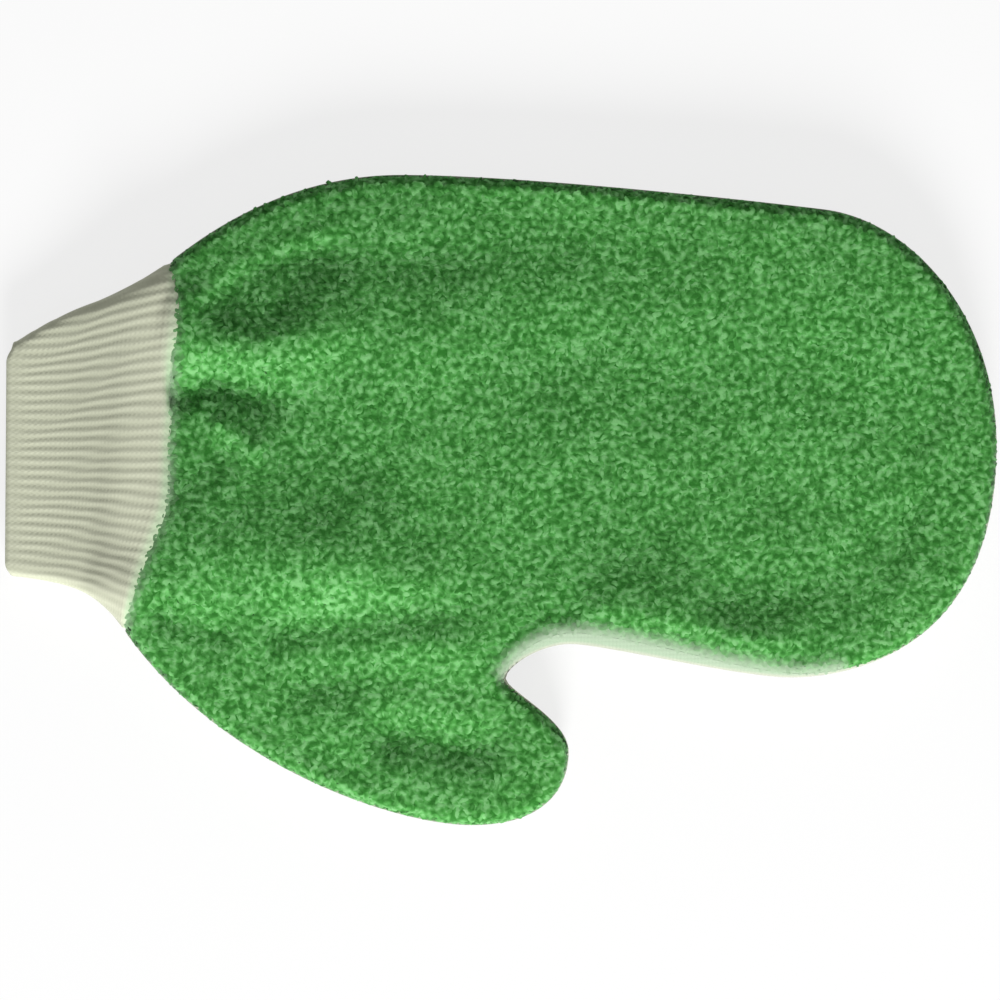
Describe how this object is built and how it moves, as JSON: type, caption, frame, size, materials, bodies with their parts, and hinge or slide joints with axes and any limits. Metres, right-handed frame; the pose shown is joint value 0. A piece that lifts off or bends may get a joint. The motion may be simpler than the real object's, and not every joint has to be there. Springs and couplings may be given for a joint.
{
  "type": "grooming mitt",
  "caption": "Cloth grooming mitt with a looped pile face, a separate thumb, a plain back and a rib-knit cuff; the fingers, thumb and cuff bend at flex lines.",
  "frame": {"origin": "under the middle of the mitt's bounding box, on the surface that its back lies on", "axes": "+X from the cuff mouth to the finger tip, -Y towards the thumb's side, +Z out of the pile face"},
  "size_m": [0.28, 0.1834, 0.0282],
  "materials": {
    "pile": "looped pile",
    "jersey": "plain jersey knit",
    "rib_knit": "rib knit",
    "seam": "overlocked seam allowance"
  },
  "bodies": {
    "palm": {"palm_face": "pile", "palm_lining": "jersey", "palm_back": "jersey", "palm_edge_seam": "seam", "wrist_seam": "seam"},
    "fingers": {"finger_face": "pile", "finger_lining": "jersey", "finger_back_panel": "jersey", "finger_edge_seam": "seam"},
    "thumb": {"thumb_face": "pile", "thumb_lining": "jersey", "thumb_back": "jersey", "thumb_edge_seam": "seam"},
    "cuff": {"cuff_outer": "rib_knit", "cuff_inner": "rib_knit"}
  },
  "joints": [
    {"name": "finger_curl", "type": "hinge", "parent": "palm", "child": "fingers", "pos_m": [0.03, 0.02, 0.01835], "axis": [0, -1, 0], "range_deg": [-15, 60]},
    {"name": "thumb_fold", "type": "hinge", "parent": "palm", "child": "thumb", "pos_m": [-0.05, -0.05035, 0.01835], "axis": [-1, 0, 0], "range_deg": [-15, 60]},
    {"name": "cuff_flex", "type": "hinge", "parent": "palm", "child": "cuff", "pos_m": [-0.09915, 0.01535, 0.011], "axis": [0.1261, 0.992, 0], "range_deg": [-35, 35]}
  ]
}
